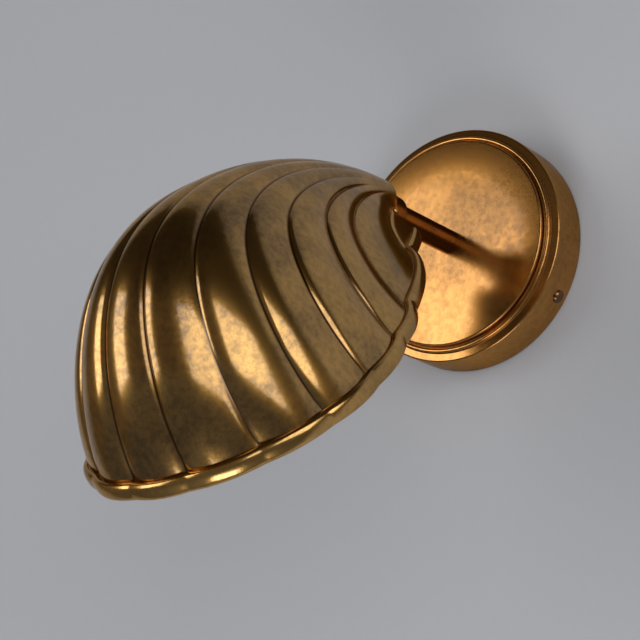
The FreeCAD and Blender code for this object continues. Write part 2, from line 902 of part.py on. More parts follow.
def lamp_globe():
    return placed(turned(lamp_glass_steps(0.0)).cut(turned(lamp_glass_steps(lamp_glass))), lamp_frame())


def lamp_cap():
    """The lamp's screw cap: a thin sleeve with rolled thread waves, closed on the glass's neck."""
    low = lamp_start + 3.0
    high = lamp_start + lamp_cap_length
    root = lamp_cap_radius - 0.5
    inner = root - 0.5
    pitch = 2.8
    steps = [(inner, low), (root, low)]
    for k in range(4):
        start = low + 0.8 + k * pitch
        steps.append((root, start))
        steps.append((root, start + pitch * 0.8, lamp_cap_radius, start + pitch * 0.4))
    steps.append((lamp_cap_radius, high - 1.0))
    steps.append((lamp_cap_radius, high))
    steps.append((root, high))
    steps.append((root, high - 1.0))
    steps.append((inner, high - 1.0))
    return placed(turned(steps), lamp_frame())


def lamp_insulator():
    low = lamp_start + 0.8
    seat = lamp_start + 3.0
    inner = lamp_cap_radius - 1.0
    cone = turned([(0, low), (lamp_tip_radius + 0.6, low), (lamp_cap_radius - 0.7, seat), (inner, seat),
                   (inner, seat + 1.0), (0, seat + 1.0)])
    return placed(cone, lamp_frame())


def lamp_tip():
    low = lamp_start
    steps = [(0, low), (lamp_tip_radius, low + 0.8, lamp_tip_radius * 0.75, low + 0.3), (0, low + 0.8)]
    return placed(turned(steps), lamp_frame())


PIECES = [
    ("wall_cover", wall_cover),
    ("wall_bracket", wall_bracket),
    ("side_screws", side_screws),
    ("earth_washer", earth_washer),
    ("earth_screw", earth_screw),
    ("terminal_block", terminal_block),
    ("terminal_fixings", terminal_fixings),
    ("terminal_tubes", terminal_tubes),
    ("terminal_clamp_screws", terminal_clamp_screws),
    ("arm_tube", arm_tube),
    ("rear_nipple", rear_nipple),
    ("rear_washer", rear_washer),
    ("rear_nut", rear_nut),
    ("swivel_ferrule", swivel_ferrule),
    ("swivel_nipple", swivel_nipple),
    ("spring_washer", spring_washer),
    ("lock_nut", lock_nut),
    ("friction_washer", friction_washer),
    ("shell_shade", shell_shade),
    ("rim_band", rim_band),
    ("lamp_strip", lamp_strip),
    ("holder_nipple", holder_nipple),
    ("holder_nut", holder_nut),
    ("holder_cap", holder_cap),
    ("holder_skirt", holder_skirt),
    ("holder_core", holder_core),
    ("holder_shell", holder_shell),
    ("holder_contact", holder_contact),
    ("lamp_globe", lamp_globe),
    ("lamp_cap", lamp_cap),
    ("lamp_insulator", lamp_insulator),
    ("lamp_tip", lamp_tip),
]

for name, build in PIECES:
    save(name, build())
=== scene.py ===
"""A fluted shell wall light in aged brass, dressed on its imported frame. Lengths are metres."""

import json
import math

import bpy
from mathutils import Matrix, Vector


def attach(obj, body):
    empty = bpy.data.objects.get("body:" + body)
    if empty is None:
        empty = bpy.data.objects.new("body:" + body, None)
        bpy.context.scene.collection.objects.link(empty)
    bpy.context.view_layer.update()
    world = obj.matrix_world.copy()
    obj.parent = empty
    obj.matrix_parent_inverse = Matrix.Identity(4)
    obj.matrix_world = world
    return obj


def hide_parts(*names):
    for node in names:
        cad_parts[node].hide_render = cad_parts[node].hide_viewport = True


bl_info = {
    "name": "Shell Wall Light",
    "version": (1, 0, 0),
    "blender": (4, 5, 0),
    "location": "View3D > Sidebar > Shell Light",
    "description": "Builds a brass wall light with a fluted shell shade, piece by piece",
    "category": "Add Mesh",
}

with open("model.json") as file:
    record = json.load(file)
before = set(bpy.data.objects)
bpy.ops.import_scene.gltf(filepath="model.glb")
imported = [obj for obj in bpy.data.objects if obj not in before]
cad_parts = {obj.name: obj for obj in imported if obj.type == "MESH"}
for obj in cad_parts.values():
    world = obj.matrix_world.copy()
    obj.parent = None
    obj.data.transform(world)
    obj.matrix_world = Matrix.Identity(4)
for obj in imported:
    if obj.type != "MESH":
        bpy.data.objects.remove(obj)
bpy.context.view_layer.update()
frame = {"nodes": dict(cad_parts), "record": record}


# ---- the light's own sizes and colours ---------------------------------------------------
class ShadeSizes(bpy.types.PropertyGroup):
    tilt: bpy.props.FloatProperty(
        name="Mouth tilt", description="Turn of the shell's mouth from the wall",
        default=math.radians(47.98), subtype="ANGLE", unit="ROTATION")
    crossing: bpy.props.FloatProperty(
        name="Mouth crossing", description="Where the mouth's plane meets the arm's axis",
        default=0.0533, unit="LENGTH", precision=4)
    half_width: bpy.props.FloatProperty(
        name="Half width", description="Half of the mouth's widest place",
        default=0.0538, unit="LENGTH", precision=4)
    belly: bpy.props.FloatProperty(
        name="Belly", description="Distance of the widest place from the arm's axis",
        default=0.1440, unit="LENGTH", precision=4)
    front: bpy.props.FloatProperty(
        name="Front", description="Distance from the widest place to the tip",
        default=0.0522, unit="LENGTH", precision=4)
    waist: bpy.props.FloatProperty(
        name="Waist", description="How hollow the mouth's flanks are", default=3.16)
    gap: bpy.props.FloatProperty(
        name="Neck gap", description="Half of the opening left for the arm",
        default=0.0087, unit="LENGTH", precision=4)
    start: bpy.props.FloatProperty(
        name="Mouth start", description="Where the mouth's edge begins beside the arm",
        default=0.0124, unit="LENGTH", precision=4)
    wall: bpy.props.FloatProperty(
        name="Wall", description="Thickness of the shell's sheet",
        default=0.0012, unit="LENGTH", precision=4)
    neck_radius: bpy.props.FloatProperty(
        name="Neck radius", description="Radius of the round neck on the arm",
        default=0.0105, unit="LENGTH", precision=4)
    neck_place: bpy.props.FloatProperty(
        name="Neck place", description="Distance of the neck from the wall",
        default=0.075, unit="LENGTH", precision=4)
    neck_wrap: bpy.props.FloatProperty(
        name="Neck wrap", description="How far the shell wraps round the neck, each way",
        default=math.radians(125.0), subtype="ANGLE", unit="ROTATION")
    height: bpy.props.FloatProperty(
        name="Dome height", description="Height of the dome over the mouth",
        default=0.0644, unit="LENGTH", precision=4)
    spread: bpy.props.FloatProperty(
        name="Spread", description="How fast the dome falls off to the sides", default=1.44)
    bulge: bpy.props.FloatProperty(
        name="Flute bulge", description="How proud a flute stands, as a share of its width",
        default=0.07)
    lean: bpy.props.FloatProperty(
        name="Flute lean", default=0.15,
        description="How far a flute's crown leans toward the tip, as a share of its width")
    band_swell: bpy.props.FloatProperty(
        name="Band swell", description="How much fuller the band is over a groove", default=1.2)
    groove_depth: bpy.props.FloatProperty(
        name="Groove depth", description="Depth of the fine line between two flutes",
        default=0.0005, unit="LENGTH", precision=5)


class CoverSizes(bpy.types.PropertyGroup):
    radius: bpy.props.FloatProperty(
        name="Radius", description="Outer radius of the wall cover",
        default=0.05, unit="LENGTH", precision=4)
    side: bpy.props.FloatProperty(
        name="Side depth", description="Depth of the cover's side wall",
        default=0.0174, unit="LENGTH", precision=4)
    depth: bpy.props.FloatProperty(
        name="Depth", description="Whole depth of the cover",
        default=0.0214, unit="LENGTH", precision=4)
    face: bpy.props.FloatProperty(
        name="Face radius", description="Radius of the flat face",
        default=0.044, unit="LENGTH", precision=4)
    bead: bpy.props.FloatProperty(
        name="Bead ring", description="Radius of the raised bead's middle",
        default=0.0456, unit="LENGTH", precision=4)
    arm: bpy.props.FloatProperty(
        name="Arm radius", description="Radius of the straight arm",
        default=0.005, unit="LENGTH", precision=4)


class SconceColours(bpy.types.PropertyGroup):
    brass: bpy.props.FloatVectorProperty(
        name="Brass", description="Rubbed brass of the shell", subtype="COLOR", size=4,
        default=(0.56, 0.31, 0.068, 1.0), min=0.0, max=1.0)
    # The patina colour also darkens the grooves: patina in the crease, together with painted shade.
    patina: bpy.props.FloatVectorProperty(
        name="Patina", description="Brown patina in clouds and grooves", subtype="COLOR", size=4,
        default=(0.085, 0.038, 0.008, 1.0), min=0.0, max=1.0)
    warm: bpy.props.FloatVectorProperty(
        name="Warm brass", description="Warmer brass of the wall cover", subtype="COLOR", size=4,
        default=(0.56, 0.265, 0.062, 1.0), min=0.0, max=1.0)
    # A darker copy of the brass for the arm and screws: darker brass with painted shade, which dims the
    # arm's highlight.
    dark_brass_and_shade: bpy.props.FloatVectorProperty(
        name="Dark brass", description="Darker brass of the arm and screws", subtype="COLOR", size=4,
        default=(0.20, 0.088, 0.020, 1.0), min=0.0, max=1.0)
    # A lighter copy of the shell's brass for the band: painted highlight standing in for the band's bright
    # reflections.
    bright: bpy.props.FloatVectorProperty(
        name="Bright brass", description="Brighter brass of the rim band", subtype="COLOR", size=4,
        default=(0.62, 0.35, 0.085, 1.0), min=0.0, max=1.0)
    plain: bpy.props.FloatVectorProperty(
        name="Plain brass", description="Turned brass inside the light", subtype="COLOR", size=4,
        default=(0.80, 0.60, 0.28, 1.0), min=0.0, max=1.0)
    steel: bpy.props.FloatVectorProperty(
        name="Zinc", description="Zinc plated steel", subtype="COLOR", size=4,
        default=(0.62, 0.64, 0.66, 1.0), min=0.0, max=1.0)
    wall: bpy.props.FloatVectorProperty(
        name="Wall paint", description="The pale wall behind the light", subtype="COLOR", size=4,
        default=(0.43, 0.435, 0.445, 1.0), min=0.0, max=1.0)


# ---- fixed places and proportions --------------------------------------------------------
GROOVES = [12.0, 38.8, 64.7, 90.2, 102.5, 114.9, 147.4, 180.0]  # degrees from the tip, each side
RIB_LEAN = 0.17        # how early a rib leaves the neck for the mouth
RIB_CURL = 0.08        # how much earlier it does so beside the neck than at the mouth
RIB_SHOULDER = -0.04   # moves a rib's highest place along it
RIB_FLAT = 0.03        # makes a rib flatter or fuller at its top
RIB_GATHER = 0.83      # how far the ribs of the flanks lean over the middle
FLUTE_START = 0.05     # share of a rib where the flutes begin to rise
FLUTE_EASE = 0.25      # share of a rib in which they rise to the full
LINE_WIDTH = 0.0009    # half width of the fine line in a groove
ACROSS_FLUTE = 20      # mesh steps across a flute
ALONG_RIB = 84         # mesh steps along a rib
ACROSS_BAND = 16       # mesh steps of the band along one flute's end
LAMP_HEIGHT = 0.0205   # the lamp's axis over the mouth's plane
BORE = 0.0041          # radius of the hole for the hollow threaded rods
SCREW_TURNS = (-33.4, 146.6)   # the side screws' places round the cover, in degrees
OUT = Matrix.Rotation(math.radians(90), 4, "X")


# ---- helpers -----------------------------------------------------------------------------
def deselect():
    if bpy.context.object and bpy.context.object.mode != "OBJECT":
        bpy.ops.object.mode_set(mode="OBJECT")
    bpy.ops.object.select_all(action="DESELECT")


def only(piece):
    """Select one piece alone and make it active."""
    deselect()
    piece.select_set(True)
    bpy.context.view_layer.objects.active = piece


def lamp_matrix():
    """Local Z runs along the lamp to the shell's tip, local Y up into the dome."""
    s = bpy.context.scene.shade_sizes
    up = Vector((0, -math.cos(s.tilt), math.sin(s.tilt)))
    place = Vector((0, -s.crossing, 0)) + up * LAMP_HEIGHT
    return Matrix.Translation(place) @ Matrix.Rotation(math.pi - s.tilt, 4, "X")


def bow(a, b, via, count=6):
    """Points of the circle through a, via and b, without a itself."""
    ax, ay = a
    bx, by = via
    cx, cy = b
    aa, bb, cc = ax * ax + ay * ay, bx * bx + by * by, cx * cx + cy * cy
    d = 2 * (ax * (by - cy) + bx * (cy - ay) + cx * (ay - by))
    ux = (aa * (by - cy) + bb * (cy - ay) + cc * (ay - by)) / d
    uy = (aa * (cx - bx) + bb * (ax - cx) + cc * (bx - ax)) / d
    radius = math.hypot(ax - ux, ay - uy)
    first = math.atan2(ay - uy, ax - ux)
    middle = (math.atan2(by - uy, bx - ux) - first) % (2 * math.pi)
    last = (math.atan2(cy - uy, cx - ux) - first) % (2 * math.pi)
    if middle > last:
        last -= 2 * math.pi
    turns = [first + last * k / count for k in range(1, count + 1)]
    return [(ux + radius * math.cos(turn), uy + radius * math.sin(turn)) for turn in turns]


def turned_piece(name, steps, place=None, around=96):
    """A ring is drawn out and resized along the steps (radius, height), as on a lathe."""
    deselect()
    least = 1e-6
    bpy.ops.mesh.primitive_circle_add(vertices=around, radius=max(steps[0][0], least), location=(0, 0, 0))
    piece = bpy.context.object
    piece.name = name
    piece.data.name = name
    bpy.ops.object.mode_set(mode="EDIT")
    bpy.ops.mesh.select_all(action="SELECT")
    bpy.ops.transform.translate(value=(0, 0, steps[0][1]))
    for (ra, ha), (rb, hb) in zip(steps[:-1], steps[1:]):
        bpy.ops.mesh.extrude_region_move(TRANSFORM_OT_translate={"value": (0, 0, hb - ha)})
        share = max(rb, least) / max(ra, least)
        if abs(share - 1) > 1e-9:
            bpy.ops.transform.resize(value=(share, share, 1), center_override=(0, 0, 0))
    bpy.ops.mesh.select_all(action="SELECT")
    bpy.ops.mesh.remove_doubles(threshold=2e-6)
    bpy.ops.mesh.normals_make_consistent(inside=False)
    bpy.ops.object.mode_set(mode="OBJECT")
    piece.matrix_world = place if place is not None else OUT
    bpy.ops.object.transform_apply(location=True, rotation=True, scale=True)
    bpy.ops.object.shade_smooth_by_angle(angle=math.radians(32))
    return piece


def cut_away(piece, cutter):
    """Take a cutter's space out of a piece."""
    only(piece)
    cut = piece.modifiers.new("cut", "BOOLEAN")
    cut.operation = "DIFFERENCE"
    cut.solver = "EXACT"
    cut.object = cutter
    bpy.ops.object.modifier_apply(modifier=cut.name)
    bpy.data.objects.remove(cutter)


def finish_with(piece, material, body, node=None):
    """Give a piece its material and body, and hide the frame node it stands for."""
    piece.data.materials.clear()
    piece.data.materials.append(material)
    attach(piece, body)
    if node:
        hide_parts(node)


# ---- materials ---------------------------------------------------------------------------
def new_group(name, inputs, outputs):
    """An empty shader node group with named sockets."""
    group = bpy.data.node_groups.new(name, "ShaderNodeTree")
    for label, kind, default in inputs:
        socket = group.interface.new_socket(name=label, in_out="INPUT", socket_type=kind)
        socket.default_value = default
    for label, kind in outputs:
        group.interface.new_socket(name=label, in_out="OUTPUT", socket_type=kind)
    start = group.nodes.new("NodeGroupInput")
    end = group.nodes.new("NodeGroupOutput")
    return group, start, end


def noise(tree, vector, scale, detail, roughness=0.55):
    node = tree.nodes.new("ShaderNodeTexNoise")
    node.inputs["Scale"].default_value = scale
    node.inputs["Detail"].default_value = detail
    node.inputs["Roughness"].default_value = roughness
    tree.links.new(vector, node.inputs["Vector"])
    return node.outputs["Fac"]


def ramp(tree, value, low, high, out_low=0.0, out_high=1.0):
    node = tree.nodes.new("ShaderNodeMapRange")
    node.interpolation_type = "SMOOTHSTEP"
    node.inputs["From Min"].default_value = low
    node.inputs["From Max"].default_value = high
    node.inputs["To Min"].default_value = out_low
    node.inputs["To Max"].default_value = out_high
    tree.links.new(value, node.inputs["Value"])
    return node.outputs["Result"]


def maths(tree, operation, a, b, clamp=False):
    node = tree.nodes.new("ShaderNodeMath")
    node.operation = operation
    node.use_clamp = clamp
    for socket, value in zip(node.inputs, (a, b)):
        if isinstance(value, (int, float)):
            socket.default_value = value
        else:
            tree.links.new(value, socket)
    return node.outputs[0]


def mottle_group():
    """Cloudy patina: a mask of brown clouds, a finer speckle and a height for the hand finish."""
    found = bpy.data.node_groups.get("PatinaClouds")
    if found:
        return found
    group, start, end = new_group(
        "PatinaClouds",
        [("Vector", "NodeSocketVector", (0, 0, 0)), ("Cloud Size", "NodeSocketFloat", 1.0)],
        [("Clouds", "NodeSocketFloat"), ("Speckle", "NodeSocketFloat"), ("Height", "NodeSocketFloat")])
    scale = group.nodes.new("ShaderNodeVectorMath")
    scale.operation = "SCALE"
    group.links.new(start.outputs["Vector"], scale.inputs[0])
    group.links.new(start.outputs["Cloud Size"], scale.inputs["Scale"])
    vector = scale.outputs["Vector"]
    broad = noise(group, vector, 34.0, 4.0, 0.6)
    fine = noise(group, vector, 420.0, 4.0, 0.7)
    grit = noise(group, vector, 1500.0, 2.0, 0.5)
    clouds = maths(group, "ADD", maths(group, "MULTIPLY", ramp(group, broad, 0.38, 0.64), 0.6),
                   maths(group, "MULTIPLY", ramp(group, fine, 0.38, 0.66), 0.4))
    group.links.new(clouds, end.inputs["Clouds"])
    group.links.new(ramp(group, grit, 0.55, 0.75), end.inputs["Speckle"])
    height = maths(group, "ADD", maths(group, "MULTIPLY", broad, 0.7), maths(group, "MULTIPLY", grit, 0.12))
    group.links.new(height, end.inputs["Height"])
    return group


def new_material(name, metallic=0.0):
    material = bpy.data.materials.new(name)
    material.use_nodes = True
    shader = material.node_tree.nodes["Principled BSDF"]
    shader.inputs["Metallic"].default_value = metallic
    return material, material.node_tree, shader


def place_vector(tree):
    return tree.nodes.new("ShaderNodeTexCoord").outputs["Object"]


def mixed(tree, share, low, high):
    """A colour between two colours, by a share that changes over the surface."""
    node = tree.nodes.new("ShaderNodeMix")
    node.data_type = "RGBA"
    for socket, value in ((node.inputs["A"], low), (node.inputs["B"], high)):
        if hasattr(value, "default_value"):
            tree.links.new(value, socket)
        else:
            socket.default_value = value
    tree.links.new(share, node.inputs["Factor"])
    return node.outputs["Result"]


def patina_brass(name, brass, clouds, shine, coat, age=0.75, dents=0.25, line=None):
    """Aged lacquered brass with brown clouds; where the line attribute marks grooves it darkens to the
    patina colour, patina in the crease together with painted shade.
    """
    colours = bpy.context.scene.sconce_colours
    material, tree, shader = new_material(name, 1.0)
    group = tree.nodes.new("ShaderNodeGroup")
    group.node_tree = mottle_group()
    group.inputs["Cloud Size"].default_value = clouds
    tree.links.new(place_vector(tree), group.inputs["Vector"])
    mask = maths(tree, "MULTIPLY", group.outputs["Clouds"], age)
    # Grooves darken to the patina colour: patina in the crease, with painted shade deepening the crease's
    # line.
    if line:
        mark = tree.nodes.new("ShaderNodeAttribute")
        mark.attribute_name = line
        mask = maths(tree, "MAXIMUM", mask, ramp(tree, mark.outputs["Fac"], 0.55, 0.97))
    mask = maths(tree, "ADD", mask, maths(tree, "MULTIPLY", group.outputs["Speckle"], 0.12), True)
    tree.links.new(mixed(tree, mask, brass, colours.patina), shader.inputs["Base Color"])
    rough = maths(tree, "ADD", maths(tree, "MULTIPLY", group.outputs["Clouds"], 0.10), shine)
    tree.links.new(rough, shader.inputs["Roughness"])
    bumper = tree.nodes.new("ShaderNodeBump")
    bumper.inputs["Strength"].default_value = dents
    bumper.inputs["Distance"].default_value = 0.0004
    tree.links.new(group.outputs["Height"], bumper.inputs["Height"])
    tree.links.new(bumper.outputs["Normal"], shader.inputs["Normal"])
    shader.inputs["Specular Tint"].default_value = (0.72, 0.56, 0.38, 1)
    shader.inputs["Coat Weight"].default_value = coat
    shader.inputs["Coat Roughness"].default_value = 0.10
    shader.inputs["Coat IOR"].default_value = 1.9
    return material


def plain_metal(name, colour, rough=0.32):
    """Turned or plated small metal, with faint handling marks."""
    material, tree, shader = new_material(name, 1.0)
    group = tree.nodes.new("ShaderNodeGroup")
    group.node_tree = mottle_group()
    group.inputs["Cloud Size"].default_value = 3.0
    tree.links.new(place_vector(tree), group.inputs["Vector"])
    dull = [c * 0.72 for c in colour[:3]] + [1.0]
    tree.links.new(mixed(tree, group.outputs["Clouds"], list(colour), dull), shader.inputs["Base Color"])
    tree.links.new(maths(tree, "ADD", maths(tree, "MULTIPLY", group.outputs["Clouds"], 0.14), rough),
                   shader.inputs["Roughness"])
    return material


def moulded(name, colour, rough=0.45, coat=0.0):
    """Moulded plastic, fibre or ceramic with a fine grain."""
    material, tree, shader = new_material(name)
    vector = place_vector(tree)
    grain = noise(tree, vector, 900.0, 2.0)
    shade = [c * 0.86 for c in colour[:3]] + [1.0]
    tree.links.new(mixed(tree, grain, shade, list(colour)), shader.inputs["Base Color"])
    uneven = maths(tree, "ADD", maths(tree, "MULTIPLY", grain, 0.12), rough)
    tree.links.new(uneven, shader.inputs["Roughness"])
    bumper = tree.nodes.new("ShaderNodeBump")
    bumper.inputs["Strength"].default_value = 0.15
    bumper.inputs["Distance"].default_value = 0.0002
    tree.links.new(grain, bumper.inputs["Height"])
    tree.links.new(bumper.outputs["Normal"], shader.inputs["Normal"])
    shader.inputs["Coat Weight"].default_value = coat
    return material


def frosted_glass():
    """Softly frosted lamp glass."""
    material, tree, shader = new_material("frosted_lamp_glass")
    grain = noise(tree, place_vector(tree), 1200.0, 2.0)
    uneven = maths(tree, "ADD", maths(tree, "MULTIPLY", grain, 0.10), 0.30)
    tree.links.new(uneven, shader.inputs["Roughness"])
    milky = mixed(tree, grain, (0.93, 0.92, 0.88, 1), (0.98, 0.97, 0.94, 1))
    tree.links.new(milky, shader.inputs["Base Color"])
    shader.inputs["Transmission Weight"].default_value = 0.75
    shader.inputs["IOR"].default_value = 1.45
    return material


# ---- the shell's form --------------------------------------------------------------------
def mouth_point(turn):
    """The mouth's outline in its own plane; turn 0 is the tip, 180 the neck."""
    s = bpy.context.scene.shade_sizes
    angle = math.radians(abs(turn))
    if abs(turn) <= 90:
        x = s.half_width * math.sin(angle)
        t = s.belly + s.front * math.cos(angle)
    else:
        back = angle - math.pi / 2
        x = s.gap + (s.half_width - s.gap) * max(math.cos(back), 0.0) ** s.waist
        t = s.belly - (s.belly - s.start) * math.sin(back)
    return Vector((math.copysign(x, turn) if turn else 0.0, t, 0))


def neck_point(turn):
    """The round neck on the arm's axis, in the mouth's own frame."""
    s = bpy.context.scene.shade_sizes
    wrap = turn / 180.0 * s.neck_wrap
    ahead = s.neck_place - s.crossing
    high = s.neck_radius * math.cos(wrap)
    return Vector((s.neck_radius * math.sin(wrap),
                   ahead * math.sin(s.tilt) - high * math.cos(s.tilt),
                   ahead * math.cos(s.tilt) + high * math.sin(s.tilt)))


def rib_point(turn, along_rib):
    """A point of the dome under the flutes, from the neck (0) to the mouth (1)."""
    s = bpy.context.scene.shade_sizes
    rim = mouth_point(turn)
    neck = neck_point(turn)
    w = math.pi * along_rib
    reach = rim.length / (s.belly + s.front)
    along = (1 - math.cos(w)) / 2 + RIB_LEAN * math.sin(w) + RIB_CURL * math.sin(2 * w)
    swell = math.sin(w) + RIB_SHOULDER * math.sin(2 * w) + RIB_FLAT * math.sin(3 * w)
    rise = s.height * reach ** s.spread * swell
    point = neck + (rim - neck) * along + Vector((0, 0, rise))
    side = Vector((rim.y, -rim.x, 0)) * (math.copysign(1.0, turn) / rim.length)
    return point - side * (RIB_GATHER * abs(rim.x) / rim.length * rise)


def rib_normal(turn, along_rib):
    """The outward direction of the plain dome, from points a little to each side."""
    low = min(turn, 179.0) - 1.0
    high = min(turn + 1.0, 180.0)
    across = rib_point(high, along_rib) - rib_point(low, along_rib)
    ahead = rib_point(turn, min(along_rib + 0.004, 1.0)) - rib_point(turn, max(along_rib - 0.004, 0.0))
    return across.cross(ahead).normalized()


def end_normal(normal, along_rib):
    """At the mouth and the neck the wall's edge lies in the end's own plane."""
    s = bpy.context.scene.shade_sizes
    if along_rib > 0.999:
        square = Vector((0, 0, 1))
    elif along_rib < 0.001:
        square = Vector((0, math.sin(s.tilt), math.cos(s.tilt)))
    else:
        return normal
    flat = normal - square * normal.dot(square)
    return flat / max(flat.length_squared, 0.25)


def flute_share(along_rib):
    """How far a flute has risen at a place along its rib."""
    ease = min(max((along_rib - FLUTE_START) / FLUTE_EASE, 0.0), 1.0)
    return ease * ease * (3 - 2 * ease)


def to_world(point):
    """From the mouth's frame (across, along to the tip, up into the dome) to the scene."""
    s = bpy.context.scene.shade_sizes
    t_axis = Vector((0, -math.sin(s.tilt), -math.cos(s.tilt)))
    m_axis = Vector((0, -math.cos(s.tilt), math.sin(s.tilt)))
    return Vector((0, -s.crossing, 0)) + Vector((1, 0, 0)) * point.x + t_axis * point.y + m_axis * point.z


def lobes():
    """The two grooves of each flute, from one flank round the tip to the other."""
    edges = [-g for g in reversed(GROOVES)] + GROOVES
    return list(zip(edges[:-1], edges[1:]))


def lobe_places(count):
    """Stations across one flute, close together beside its two grooves."""
    return [0.5 - 0.5 * math.cos(math.pi * k / count) for k in range(count + 1)]


def mirrored_rib(turn, along_rib, depth):
    """A groove's point at a wall depth; the left side is the right side's mirror image."""
    side = -1.0 if turn < 0 else 1.0
    point = rib_point(abs(turn), along_rib)
    point = point - end_normal(rib_normal(abs(turn), along_rib), along_rib) * depth
    return Vector((point.x * side, point.y, point.z))


def lobe_frame(left, right, along_rib, depth):
    """The two grooves and the crest control of a flute at one place along it."""
    s = bpy.context.scene.shade_sizes
    a = mirrored_rib(left, along_rib, depth)
    b = mirrored_rib(right, along_rib, depth)
    middle = (left + right) / 2
    side = -1.0 if middle < -0.001 else 1.0
    width = (mirrored_rib(left, along_rib, 0) - mirrored_rib(right, along_rib, 0)).length
    normal = end_normal(rib_normal(abs(middle), along_rib), along_rib)
    proud = s.bulge * width * flute_share(along_rib)
    crest = rib_point(abs(middle), along_rib) + normal * (proud - depth)
    crest = Vector((crest.x * side, crest.y, crest.z))
    normal = Vector((normal.x * side, normal.y, normal.z))
    fade = flute_share(along_rib) * min(max((0.99 - along_rib) / 0.12, 0.0), 1.0)
    lean = (a - b) * (s.lean * side * fade) if abs(middle) > 0.001 else Vector((0, 0, 0))
    return a, crest * 2 - (a + b) * 0.5 + lean, b, normal


def shell_sheet(depth, across, along):
    """Rows of points over the whole shell at a wall depth, with a groove mark for each point; the mark
    sinks the fine groove and darkens it with patina and painted shade.
    """
    s = bpy.context.scene.shade_sizes
    rows, marks = [], []
    for i in range(along + 1):
        place = i / along
        row, mark = [], []
        for number, (left, right) in enumerate(lobes()):
            a, c, b, normal = lobe_frame(left, right, place, depth)
            width = (b - a).length
            for k, u in enumerate(lobe_places(across)):
                if number and k == 0:
                    continue
                point = a * (1 - u) ** 2 + c * (2 * u * (1 - u)) + b * u * u
                near = min(u, 1 - u) * width
                # The line sinks the fine groove and later darkens it: patina with painted shade.
                line = math.exp(-(near / LINE_WIDTH) ** 2) * flute_share(place)
                at_an_end = (number == 0 and u < 0.5) or (number == len(lobes()) - 1 and u > 0.5)
                if at_an_end:
                    line = 0.0
                if depth == 0 and place < 0.999:
                    point = point - normal * (s.groove_depth * line)
                row.append(point)
                mark.append(line)
        rows.append(row)
        marks.append(mark)
    return rows, marks


def mesh_piece(name, points, faces, marks=None):
    """A mesh from points and faces, with the groove marks as an attribute."""
    mesh = bpy.data.meshes.new(name)
    mesh.from_pydata([tuple(p) for p in points], [], faces)
    mesh.update()
    if marks:
        layer = mesh.attributes.new("groove", "FLOAT", "POINT")
        for k, value in enumerate(marks):
            layer.data[k].value = value
    piece = bpy.data.objects.new(name, mesh)
    bpy.context.scene.collection.objects.link(piece)
    only(piece)
    bpy.ops.object.mode_set(mode="EDIT")
    bpy.ops.mesh.select_all(action="SELECT")
    bpy.ops.mesh.normals_make_consistent(inside=False)
    bpy.ops.object.mode_set(mode="OBJECT")
    return piece


class SCONCE_OT_shell(bpy.types.Operator):
    """Build the fluted shell shade from its ribs, because no primitive holds its double curve"""

    bl_idname = "sconce.shell"
    bl_label = "Fluted Shell"

    def execute(self, context):
        s = context.scene.shade_sizes
        outer, marks = shell_sheet(0.0, ACROSS_FLUTE, ALONG_RIB)
        inner, _ = shell_sheet(s.wall, ACROSS_FLUTE, ALONG_RIB)
        wide = len(outer[0])
        deep = len(outer)
        points = [to_world(p) for row in outer for p in row] + [to_world(p) for row in inner for p in row]
        shift = wide * deep
        faces = []
        for i in range(deep - 1):
            for j in range(wide - 1):
                a = i * wide + j
                faces.append((a, a + 1, a + wide + 1, a + wide))
                faces.append((shift + a, shift + a + wide, shift + a + wide + 1, shift + a + 1))
        for j in range(wide - 1):
            last = (deep - 1) * wide + j
            faces.append((j, shift + j, shift + j + 1, j + 1))
            faces.append((last, last + 1, shift + last + 1, shift + last))
        for i in range(deep - 1):
            left, right = i * wide, i * wide + wide - 1
            faces.append((left, left + wide, shift + left + wide, shift + left))
            faces.append((right, shift + right, shift + right + wide, right + wide))
        flat = [m for row in marks for m in row]
        # The inner sheet's grooves are darkened too, at 0.6 strength: patina with painted shade.
        piece = mesh_piece("fluted_shell", points, faces, flat + [0.6 * m for m in flat])
        bpy.ops.object.shade_smooth_by_angle(angle=math.radians(40))
        colours = context.scene.sconce_colours
        brass = patina_brass("shell_brass", colours.brass, clouds=1.0, shine=0.17, coat=0.5, age=0.8,
                             dents=0.16, line="groove")
        finish_with(piece, brass, "shade", "shell_shade")
        hole, radius, back, front = 0.0043, 0.0097, 0.0741, 0.0755
        disc = turned_piece("neck_disc", [(hole, back), (radius - 0.0004, back), (radius, back + 0.0003),
                                          (radius, front), (hole, front), (hole, back)])
        finish_with(disc, brass, "shade")
        return {"FINISHED"}


# ---- rim band ----------------------------------------------------------------------------
def band_section():
    """The band's section as (r outward, m up) points, in order round it."""
    deep, wide, wall = -0.0056, 0.00285, 0.0012
    crevice, lip = 0.00035, 0.0005
    points = [(-wall, -0.00002), (crevice, -0.00002), (crevice + 0.0003, lip * 0.7)]

    def quad(a, c, b, count=7):
        return [(a[0] * (1 - u) ** 2 + c[0] * 2 * u * (1 - u) + b[0] * u * u,
                 a[1] * (1 - u) ** 2 + c[1] * 2 * u * (1 - u) + b[1] * u * u)
                for u in [k / count for k in range(count)]]

    points += quad((crevice + 0.0004, lip), (wide - 0.0004, lip + 0.0003), (wide, deep * 0.25))
    points += quad((wide, deep * 0.25), (wide + 0.00015, deep * 0.5), (wide - 0.0001, deep * 0.75))
    points += quad((wide - 0.0001, deep * 0.75), (wide - 0.0004, deep - 0.0001), (wide - 0.0018, deep))
    points += quad((wide - 0.0018, deep), (-0.0002, deep), (-0.0004, deep * 0.75))
    points += [(-0.0004, deep * 0.75), (-wall, deep * 0.5)]
    return points


def rim_normal(turn):
    """The direction out of the mouth's edge, in the mouth's plane."""
    side = -1.0 if turn < 0 else 1.0
    normal = end_normal(rib_normal(abs(turn), 1.0), 1.0).normalized()
    return Vector((normal.x * side, normal.y, 0))


